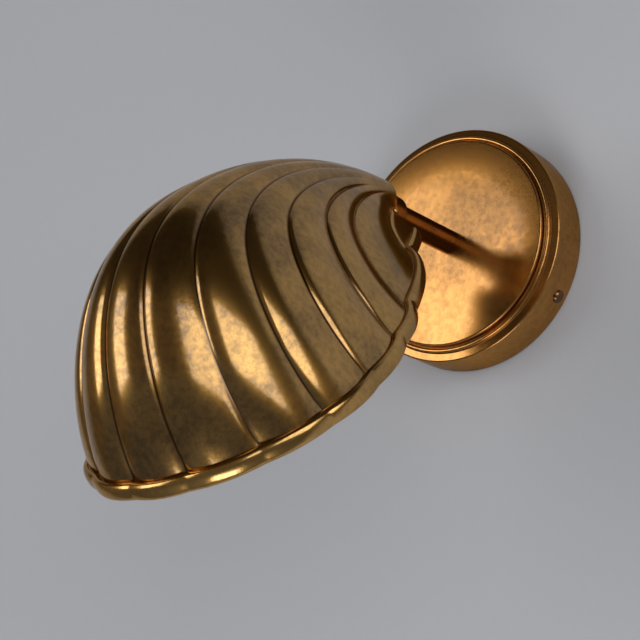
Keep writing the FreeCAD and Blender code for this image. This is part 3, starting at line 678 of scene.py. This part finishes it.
def rounded_tracks(rings, section, passes=4):
    """Round the band's outer side over each groove, where two flutes' ends meet."""
    for _ in range(passes):
        softer = [list(ring) for ring in rings]
        for i in range(1, len(rings) - 1):
            for j, (r, _m) in enumerate(section):
                share = min(max(r / 0.001, 0.0), 1.0)
                between = (rings[i - 1][j] + rings[i][j] * 2 + rings[i + 1][j]) / 4
                softer[i][j] = rings[i][j].lerp(between, share)
        rings = softer
    return rings


class SCONCE_OT_band(bpy.types.Operator):
    """Build the rolled rim band that follows the scalloped mouth"""

    bl_idname = "sconce.band"
    bl_label = "Rim Band"

    def execute(self, context):
        section = band_section()
        swell = context.scene.shade_sizes.band_swell
        rings = []
        for number, (left, right) in enumerate(lobes()):
            a, c, b, _ = lobe_frame(left, right, 1.0, 0.0)
            crest = (c + (a + b) * 0.5) * 0.5
            na, nm, nb = rim_normal(left), rim_normal((left + right) / 2), rim_normal(right)
            fuller = [swell if abs(turn) < GROOVES[-1] else 1.0 for turn in (left, right)]
            for k, u in enumerate(lobe_places(ACROSS_BAND)):
                if number and k == 0:
                    continue
                ring = []
                for r, m in section:
                    low = a + na * (r * fuller[0] if r > 0 else r)
                    high = b + nb * (r * fuller[1] if r > 0 else r)
                    top = crest + nm * r
                    control = top * 2 - (low + high) * 0.5
                    point = low * (1 - u) ** 2 + control * (2 * u * (1 - u)) + high * u * u
                    ring.append(Vector((point.x, point.y, m)))
                rings.append(ring)
        rings = rounded_tracks(rings, section)
        nose_length, nose_share = 0.0022, 0.3
        for end in (1, -1):
            tip = rings[-1] if end > 0 else rings[0]
            before = rings[-8] if end > 0 else rings[7]
            centre = sum(tip, Vector()) / len(tip)
            ahead = (centre - sum(before, Vector()) / len(before))
            ahead = Vector((ahead.x, ahead.y, 0)).normalized()
            extra = []
            for k in range(1, 7):
                angle = math.pi / 2 * k / 6
                share = nose_share + (1 - nose_share) * math.cos(angle)
                reach = ahead * (nose_length * math.sin(angle))
                extra.append([centre + (p - centre) * share + reach for p in tip])
            if end > 0:
                rings = rings + extra
            else:
                rings = extra[::-1] + rings
        size = len(section)
        points = [to_world(p) for ring in rings for p in ring]
        faces = []
        for i in range(len(rings) - 1):
            for j in range(size):
                k = (j + 1) % size
                faces.append((i * size + j, i * size + k, (i + 1) * size + k, (i + 1) * size + j))
        faces.append(tuple(range(size)))
        faces.append(tuple((len(rings) - 1) * size + j for j in reversed(range(size))))
        piece = mesh_piece("rolled_rim_band", points, faces)
        bpy.ops.object.shade_smooth_by_angle(angle=math.radians(40))
        # The band takes the lighter brass and less patina: painted highlight on the band.
        brass = patina_brass("band_brass", context.scene.sconce_colours.bright, clouds=1.6, shine=0.15,
                             coat=0.4, age=0.45)
        finish_with(piece, brass, "shade", "rim_band")
        return {"FINISHED"}


# ---- wall cover and arm ------------------------------------------------------------------
class SCONCE_OT_cover(bpy.types.Operator):
    """Turn the stepped wall cover with its bead and flat face"""

    bl_idname = "sconce.cover"
    bl_label = "Wall Cover"

    def execute(self, context):
        c = context.scene.cover_sizes
        wall, edge = 0.001, 0.0009
        corner = edge * (1 - math.sqrt(0.5))
        ledge = c.side + 0.0004
        foot = ledge + 0.0007
        shoulder = 0.0468
        out, inn = c.bead + 0.00095, c.bead - 0.00095
        steps = [(c.radius - wall, 0.0), (c.radius, 0.0), (c.radius, c.side - edge)]
        steps += bow(steps[-1], (c.radius - edge, c.side), (c.radius - corner, c.side - corner))
        steps.append((shoulder, ledge))
        steps += bow((shoulder, ledge), (out, foot), (shoulder - 0.0002, foot - 0.0003), 4)
        steps += bow((out, foot), (inn, foot), (c.bead, foot + 0.00095), 12)
        steps.append((c.face, foot + 0.0003))
        steps.append((c.face, c.depth - edge))
        steps += bow(steps[-1], (c.face - edge, c.depth), (c.face - corner, c.depth - corner))
        steps += [(0.03, c.depth), (0.015, c.depth), (BORE, c.depth), (BORE, c.depth - wall)]
        steps += [(c.face - wall, c.depth - wall), (c.face - wall, c.side - wall)]
        steps += [(c.radius - wall, c.side - wall), (c.radius - wall, 0.0)]
        piece = turned_piece("stepped_wall_cover", steps, around=192)
        brass = patina_brass("cover_brass", context.scene.sconce_colours.warm, clouds=0.8, shine=0.19,
                             coat=0.2, age=0.5, dents=0.05)
        finish_with(piece, brass, "base", "wall_cover")
        return {"FINISHED"}


class SCONCE_OT_arm(bpy.types.Operator):
    """Turn the straight arm and the ferrule at its end"""

    bl_idname = "sconce.arm"
    bl_label = "Arm And Ferrule"

    def execute(self, context):
        c = context.scene.cover_sizes
        end = 0.071
        steps = [(BORE, c.depth), (c.arm, c.depth), (c.arm, 0.035), (c.arm, 0.055), (c.arm, end),
                 (BORE, end), (BORE, c.depth)]
        arm = turned_piece("straight_arm", steps, around=64)
        # Darker brass with painted shade on the arm, dimming its highlight.
        brass = patina_brass("arm_brass", context.scene.sconce_colours.dark_brass_and_shade, clouds=1.4, shine=0.2,
                             coat=0.2, age=0.7)
        finish_with(arm, brass, "base", "arm_tube")
        low, high = 0.0619, 0.0734
        radius, edge, seat = 0.0070, 0.0008, end + 0.0001
        corner = edge * 0.29375
        steps = [(c.arm, low), (radius - edge, low)]
        steps += bow(steps[-1], (radius, low + edge), (radius - corner, low + corner), 5)
        steps += [(radius, high - 0.0005), (radius - 0.0005, high), (BORE, high), (BORE, seat),
                  (c.arm, seat), (c.arm, low)]
        ferrule = turned_piece("arm_ferrule", steps, around=64)
        finish_with(ferrule, brass, "base", "swivel_ferrule")
        return {"FINISHED"}


class SCONCE_OT_side_screws(bpy.types.Operator):
    """Turn the two domed side screws and cut their slots"""

    bl_idname = "sconce.side_screws"
    bl_label = "Side Screws"

    def execute(self, context):
        # The screws take the same darker brass with painted shade.
        brass = patina_brass("screw_brass", context.scene.sconce_colours.dark_brass_and_shade, clouds=3.0, shine=0.25,
                             coat=0.4)
        seat, height, radius, shank, from_wall = 0.04985, 0.0019, 0.00275, 0.0015, 0.0056
        for number, turn in enumerate(SCREW_TURNS):
            steps = [(0.0, -0.004), (shank, -0.004), (shank, 0.0), (radius, 0.0), (radius, height * 0.3)]
            steps += bow(steps[-1], (0.00001, height), (radius * 0.72, height * 0.76), 10)
            steps.append((0.0, height))
            screw = turned_piece("side_screw_%d" % (number + 1), steps, Matrix.Identity(4), 48)
            deselect()
            bpy.ops.mesh.primitive_cube_add(size=1, location=(0, 0, height))
            cutter = bpy.context.object
            cutter.scale = (0.01, 0.0007, 0.0016)
            cut_away(screw, cutter)
            angle = math.radians(turn)
            side = Vector((math.cos(angle), 0, math.sin(angle)))
            across = Vector((0, -1, 0))
            out = Matrix((across, side.cross(across), side)).transposed().to_4x4()
            screw.matrix_world = Matrix.Translation(side * seat + Vector((0, -from_wall, 0))) @ out
            only(screw)
            bpy.ops.object.transform_apply(location=True, rotation=True, scale=True)
            bpy.ops.object.shade_smooth_by_angle(angle=math.radians(32))
            finish_with(screw, brass, "base", "side_screws" if number == 0 else None)
        return {"FINISHED"}


# ---- lamp and holder ---------------------------------------------------------------------
class SCONCE_OT_holder(bpy.types.Operator):
    """Turn the two halves of the black lamp holder"""

    bl_idname = "sconce.holder"
    bl_label = "Lamp Holder"

    def execute(self, context):
        place = lamp_matrix()
        black = moulded("black_holder", (0.028, 0.027, 0.026, 1), 0.38, 0.2)
        radius, wall, low = 0.0132, 0.0012, 0.03575
        high = low + 0.015
        inside = radius - wall
        hole, edge, chamfer = 0.0050, 0.003, 0.0003
        corner = 0.00088
        steps = [(hole, low), (radius - edge, low)]
        steps += bow(steps[-1], (radius, low + edge), (radius - corner, low + corner))
        steps += [(radius, high - chamfer), (radius - chamfer, high), (inside, high), (inside, low + edge),
                  (inside - 0.0018, low + wall), (hole, low + wall), (hole, low)]
        cap = turned_piece("holder_cap_shell", steps, place)
        finish_with(cap, black, "shade", "holder_cap")
        end, lip, grip_rings = high + 0.023, high - 0.0045, 5
        steps = [(inside - 0.001, lip), (inside, lip), (inside, high), (radius - chamfer, high),
                 (radius, high + chamfer)]
        for k in range(grip_rings):
            groove, floor = high + 0.003 + k * 0.0028, radius - 0.0004
            steps += [(radius, groove), (floor, groove + 0.0003), (floor, groove + 0.0009),
                      (radius, groove + 0.0012)]
        steps += [(radius, end - 0.0006), (radius - 0.0006, end), (inside - 0.001, end),
                  (inside - 0.001, lip)]
        skirt = turned_piece("holder_skirt_ring", steps, place)
        finish_with(skirt, black, "shade", "holder_skirt")
        return {"FINISHED"}


class SCONCE_OT_lamp(bpy.types.Operator):
    """Turn the lamp's hollow glass globe and its screw cap"""

    bl_idname = "sconce.lamp"
    bl_label = "Lamp"

    def execute(self, context):
        place = lamp_matrix()
        start, cap, globe, length = 0.04895, 0.017, 0.0225, 0.077
        wall, foot, foot_height = 0.001, 0.0064, 0.0024
        low = start + cap - 0.001
        centre = start + length - globe

        def outline(inset):
            r = globe - inset
            down = math.radians(40)
            shoulder = (r * math.cos(down), centre - r * math.sin(down))
            steps = [(0.0, low + inset), (foot - inset, low + inset), (foot - inset, low + foot_height),
                     shoulder]
            turns = 18
            for k in range(1, turns + 1):
                angle = -down + (math.pi / 2 + down) * k / turns
                steps.append((r * math.cos(angle), centre + r * math.sin(angle)))
            return steps

        skin = outline(0.0)
        back = outline(wall)[::-1]
        outer = turned_piece("lamp_globe_glass", skin, place, 80)
        inner = turned_piece("lamp_globe_inside", back, place, 80)
        only(inner)
        bpy.ops.object.mode_set(mode="EDIT")
        bpy.ops.mesh.select_all(action="SELECT")
        bpy.ops.mesh.normals_make_consistent(inside=True)
        bpy.ops.object.mode_set(mode="OBJECT")
        only(outer)
        inner.select_set(True)
        bpy.ops.object.join()
        finish_with(outer, frosted_glass(), "lamp", "lamp_globe")
        root, crown, bottom, pitch, turns = 0.0064, 0.0069, start + 0.003, 0.0028, 4
        steps = [(root - 0.0005, bottom), (root, bottom)]
        for k in range(turns):
            step = start + 0.0038 + k * pitch
            steps.append((root, step))
            steps += bow((root, step), (root, step + pitch * 0.8), (crown, step + pitch * 0.4), 6)
        steps += [(crown, low), (crown, start + cap), (root, start + cap), (root, low),
                  (root - 0.0005, low), (root - 0.0005, bottom)]
        screw_cap = turned_piece("lamp_screw_cap", steps, place, 64)
        nickel = plain_metal("nickel_cap", (0.7, 0.69, 0.66, 1))
        finish_with(screw_cap, nickel, "lamp", "lamp_cap")
        return {"FINISHED"}


# ---- carried-over nodes ------------------------------------------------------------------
class SCONCE_OT_node_finishes(bpy.types.Operator):
    """Give every frame node that stays in sight its own finish"""

    bl_idname = "sconce.node_finishes"
    bl_label = "Node Finishes"

    def execute(self, context):
        colours = context.scene.sconce_colours
        finishes = {
            "brass_aged": patina_brass("aged_brass_small", colours.brass, clouds=2.0, shine=0.3, coat=0.6),
            "brass_raw": plain_metal("turned_brass", tuple(colours.plain)),
            "steel_zinc": plain_metal("zinc_steel", tuple(colours.steel), 0.38),
            "block_plastic": moulded("terminal_plastic", (0.78, 0.77, 0.72, 1)),
            "holder_plastic": moulded("holder_black", (0.03, 0.03, 0.03, 1), 0.4),
            "ceramic_core": moulded("white_ceramic", (0.85, 0.84, 0.80, 1), 0.2, 0.5),
            "lamp_glass": frosted_glass(),
            "nickel_thin": plain_metal("thin_nickel", (0.68, 0.67, 0.64, 1), 0.25),
            "fibre_washer": moulded("red_fibre", (0.35, 0.10, 0.05, 1), 0.7),
        }
        slots = {entry["node"]: entry["material_slot"] for entry in frame["record"]["subparts"]}
        for name, node in frame["nodes"].items():
            node.data.materials.clear()
            node.data.materials.append(finishes[slots[name]])
        return {"FINISHED"}


# ---- stage -------------------------------------------------------------------------------
LIGHT = Vector((0, -0.12, -0.04))      # the middle of the wall light, which the lamps stand round
SOFT_BOXES = {                         # azimuth, elevation, distance, aim, width, height, watts
    "right_soft_box": (-52, 6, 1.3, LIGHT, 1.1, 0.85, 6.2),
    "left_soft_box": (41, 6, 1.3, LIGHT, 0.66, 0.90, 5.0),
    "low_soft_box": (-20, -66, 1.1, Vector((0, -0.12, -0.06)), 0.50, 0.30, 2.0),
    "wall_wash": (-14, -60, 1.0, Vector((0.05, 0, -0.16)), 0.50, 0.40, 2.4),
}
LAMP_WHITE = (1.0, 1.0, 1.03)
ROOM_LOW, ROOM_HIGH = (0.15, 0.12, 0.085, 1), (0.035, 0.028, 0.02, 1)   # the room that brass reflects
ROOM_PALE = (0.46, 0.46, 0.475, 1)
WALL_BEHIND, FLOOR_BELOW, STAGE_SIZE = 0.0008, -1.3, 6
CAMERA_PLACE = Vector((0.38931, -0.64836, -0.26103))    # fitted to the photograph
CAMERA_RIGHT = Vector((0.809492, 0.58713, -0.000722))
CAMERA_UP = Vector((0.173802, -0.238451, 0.955476))
CAMERA_BACK = Vector((0.560816, -0.773576, -0.295069))
CAMERA_LENS = 106.376


def light_toward(name, place, aim, width, height, power):
    """A soft box at a place, turned to its aim."""
    deselect()
    bpy.ops.object.light_add(type="AREA", location=place)
    lamp = bpy.context.object
    lamp.name = name
    lamp.data.shape = "RECTANGLE"
    lamp.data.size = width
    lamp.data.size_y = height
    lamp.data.energy = power
    lamp.data.color = LAMP_WHITE
    lamp.rotation_euler = (aim - place).to_track_quat("-Z", "Y").to_euler()
    return lamp


def around(azimuth, elevation, distance):
    """A place seen from the wall light at an angle to its left (+) and up (+)."""
    a, e = math.radians(azimuth), math.radians(elevation)
    toward = Vector((-math.sin(a) * math.cos(e), -math.cos(a) * math.cos(e), math.sin(e)))
    return LIGHT + toward * distance


class SCONCE_OT_stage(bpy.types.Operator):
    """Set up the pale wall, the soft lamps and the camera"""

    bl_idname = "sconce.stage"
    bl_label = "Stage"

    def execute(self, context):
        self.put_up_wall(context.scene.sconce_colours.wall)
        self.lay_floor()
        for name, (azimuth, elevation, distance, aim, width, height, watts) in SOFT_BOXES.items():
            lamp = light_toward(name, around(azimuth, elevation, distance), aim, width, height, watts)
            lamp.visible_glossy = name != "wall_wash"
        self.light_room(context.scene)
        self.set_camera(context.scene)
        context.scene.view_settings.view_transform = "Standard"
        return {"FINISHED"}

    def put_up_wall(self, paint):
        """A matt wall just behind the cover, which is clear when it is seen from its back."""
        deselect()
        bpy.ops.mesh.primitive_plane_add(size=STAGE_SIZE, location=(0, WALL_BEHIND, 0),
                                         rotation=(math.radians(90), 0, 0))
        wall = bpy.context.object
        wall.name = "pale_wall"
        bpy.ops.object.transform_apply(location=True, rotation=True, scale=True)
        material, tree, shader = new_material("wall_paint")
        grain = noise(tree, place_vector(tree), 300.0, 3.0)
        dim = [c * 0.97 for c in paint[:3]] + [1.0]
        tree.links.new(mixed(tree, grain, dim, list(paint)), shader.inputs["Base Color"])
        shader.inputs["Roughness"].default_value = 0.9
        shader.inputs["Specular IOR Level"].default_value = 0.1
        clear = tree.nodes.new("ShaderNodeBsdfTransparent")
        mix = tree.nodes.new("ShaderNodeMixShader")
        geometry = tree.nodes.new("ShaderNodeNewGeometry")
        tree.links.new(geometry.outputs["Backfacing"], mix.inputs["Fac"])
        tree.links.new(shader.outputs["BSDF"], mix.inputs[1])
        tree.links.new(clear.outputs["BSDF"], mix.inputs[2])
        tree.links.new(mix.outputs["Shader"], tree.nodes["Material Output"].inputs["Surface"])
        wall.data.materials.append(material)

    def lay_floor(self):
        """A matt floor in front of the wall, well below the light."""
        deselect()
        bpy.ops.mesh.primitive_plane_add(size=STAGE_SIZE, location=(0, -STAGE_SIZE / 2, FLOOR_BELOW))
        floor = bpy.context.object
        floor.name = "pale_floor"
        bpy.ops.object.transform_apply(location=True, rotation=True, scale=True)
        material, tree, shader = new_material("floor_paint")
        grain = noise(tree, place_vector(tree), 6.0, 2.0)
        paint = mixed(tree, grain, (0.27, 0.27, 0.27, 1), (0.31, 0.31, 0.31, 1))
        tree.links.new(paint, shader.inputs["Base Color"])
        shader.inputs["Roughness"].default_value = 0.8
        floor.data.materials.append(material)

    def light_room(self, scene):
        """A pale even room, which the brass sees as warmer and dimmer toward the ceiling."""
        world = scene.world or bpy.data.worlds.new("room")
        scene.world = world
        world.use_nodes = True
        tree = world.node_tree
        shade = tree.nodes["Background"]
        split = tree.nodes.new("ShaderNodeSeparateXYZ")
        tree.links.new(tree.nodes.new("ShaderNodeTexCoord").outputs["Generated"], split.inputs["Vector"])
        height = ramp(tree, split.outputs["Z"], 0.1, 0.75)
        tree.links.new(mixed(tree, height, ROOM_LOW, ROOM_HIGH), shade.inputs["Color"])
        pale = tree.nodes.new("ShaderNodeBackground")
        pale.inputs["Color"].default_value = ROOM_PALE
        path = tree.nodes.new("ShaderNodeLightPath")
        mix = tree.nodes.new("ShaderNodeMixShader")
        tree.links.new(path.outputs["Is Glossy Ray"], mix.inputs["Fac"])
        tree.links.new(pale.outputs["Background"], mix.inputs[1])
        tree.links.new(shade.outputs["Background"], mix.inputs[2])
        tree.links.new(mix.outputs["Shader"], tree.nodes["World Output"].inputs["Surface"])

    def set_camera(self, scene):
        """The camera at the photograph's viewing angle."""
        deselect()
        bpy.ops.object.camera_add(location=CAMERA_PLACE)
        camera = bpy.context.object
        turn = Matrix((CAMERA_RIGHT, CAMERA_UP, CAMERA_BACK)).transposed().to_4x4()
        camera.matrix_world = Matrix.Translation(camera.location) @ turn
        camera.data.sensor_width = 36
        camera.data.lens = CAMERA_LENS
        scene.camera = camera


class SCONCE_PT_panel(bpy.types.Panel):
    """The light's pieces in the sidebar"""

    bl_label = "Shell Wall Light"
    bl_idname = "SCONCE_PT_panel"
    bl_space_type = "VIEW_3D"
    bl_region_type = "UI"
    bl_category = "Shell Light"

    def draw(self, context):
        column = self.layout.column(align=True)
        for operator in OPERATORS:
            column.operator(operator.bl_idname)
        for group in (context.scene.shade_sizes, context.scene.cover_sizes, context.scene.sconce_colours):
            for name in group.bl_rna.properties.keys():
                if name not in ("rna_type", "name"):
                    column.prop(group, name)


OPERATORS = (
    SCONCE_OT_node_finishes,
    SCONCE_OT_cover,
    SCONCE_OT_arm,
    SCONCE_OT_side_screws,
    SCONCE_OT_shell,
    SCONCE_OT_band,
    SCONCE_OT_holder,
    SCONCE_OT_lamp,
    SCONCE_OT_stage,
)
CLASSES = (ShadeSizes, CoverSizes, SconceColours) + OPERATORS + (SCONCE_PT_panel,)


def register():
    for cls in CLASSES:
        bpy.utils.register_class(cls)
    bpy.types.Scene.shade_sizes = bpy.props.PointerProperty(type=ShadeSizes)
    bpy.types.Scene.cover_sizes = bpy.props.PointerProperty(type=CoverSizes)
    bpy.types.Scene.sconce_colours = bpy.props.PointerProperty(type=SconceColours)


def unregister():
    del bpy.types.Scene.shade_sizes
    del bpy.types.Scene.cover_sizes
    del bpy.types.Scene.sconce_colours
    for cls in reversed(CLASSES):
        bpy.utils.unregister_class(cls)


def main():
    register()
    bpy.ops.sconce.node_finishes()
    bpy.ops.sconce.cover()
    bpy.ops.sconce.arm()
    bpy.ops.sconce.side_screws()
    bpy.ops.sconce.shell()
    bpy.ops.sconce.band()
    bpy.ops.sconce.holder()
    bpy.ops.sconce.lamp()
    bpy.ops.sconce.stage()


if __name__ == "__main__":
    main()
